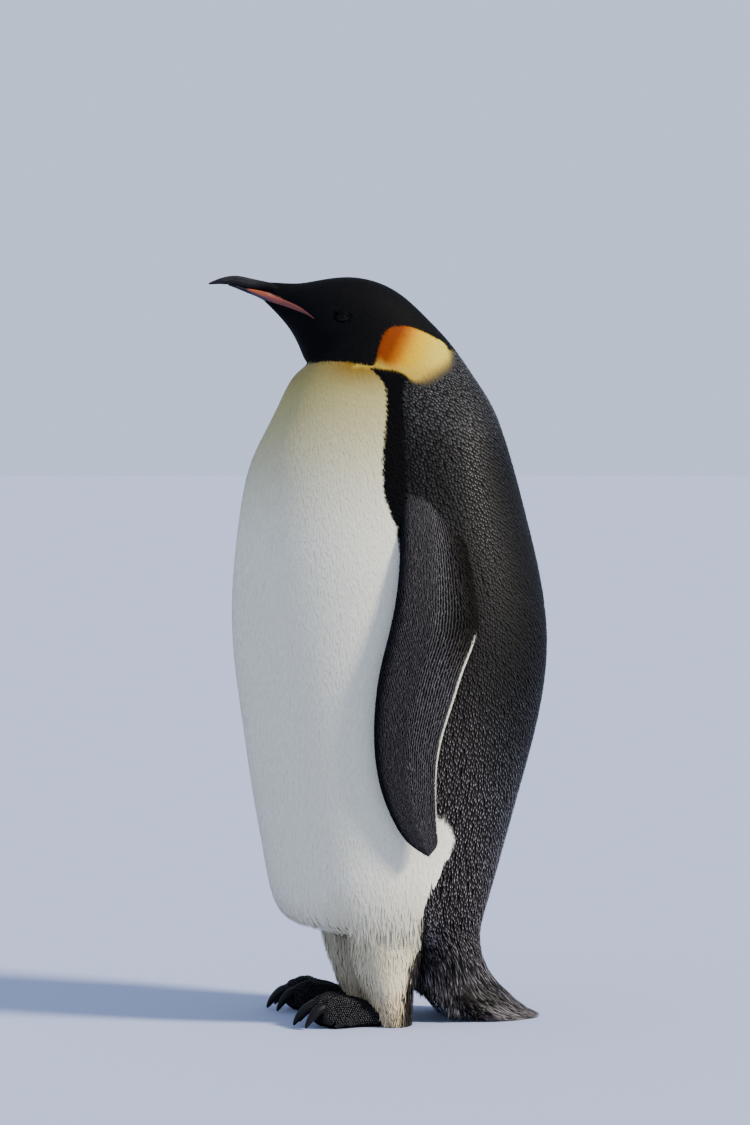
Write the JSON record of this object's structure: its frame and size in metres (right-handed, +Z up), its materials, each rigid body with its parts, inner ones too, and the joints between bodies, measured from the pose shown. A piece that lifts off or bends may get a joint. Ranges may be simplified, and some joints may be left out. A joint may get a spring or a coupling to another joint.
{
  "type": "emperor penguin",
  "caption": "Life-size emperor penguin standing upright in profile, flippers at its sides, head level, resting on both feet and its tail.",
  "frame": {"origin": "on the floor under the middle of the bird's bounding box, between the feet", "axes": "+Z up, the bird faces -Y, its left side is +X"},
  "size_m": [0.3614, 0.4511, 0.9884],
  "materials": {
    "head_plumage": "short dense feathers, velvety",
    "neck_plumage": "short dense feathers, gold shading to white, grey at the nape",
    "trunk_plumage": "dense overlapping feathers, white in front, blue-grey at the back",
    "tail_plumage": "long stiff dark feathers",
    "leg_plumage": "soft white feathers with brown tips",
    "flipper_plumage": "very small scale-like feathers in rows",
    "foot_skin": "black scaly skin",
    "claw_horn": "black horn, satin",
    "bill_horn": "dark horn, satin",
    "bill_plate": "smooth orange and pink horn",
    "eye": "wet dark brown"
  },
  "bodies": {
    "root": {"head": "head_plumage", "neck": "neck_plumage", "trunk": "trunk_plumage", "tail": "tail_plumage", "upper_bill": "bill_horn", "lower_bill": "bill_horn", "bill_plate_left": "bill_plate", "bill_plate_right": "bill_plate", "eye_left": "eye", "eye_right": "eye", "flipper_left": "flipper_plumage", "flipper_right": "flipper_plumage", "leg_left": "leg_plumage", "leg_right": "leg_plumage", "foot_left": "foot_skin", "foot_right": "foot_skin", "claw_left_inner": "claw_horn", "claw_left_middle": "claw_horn", "claw_left_outer": "claw_horn", "claw_right_inner": "claw_horn", "claw_right_middle": "claw_horn", "claw_right_outer": "claw_horn"}
  },
  "joints": []
}
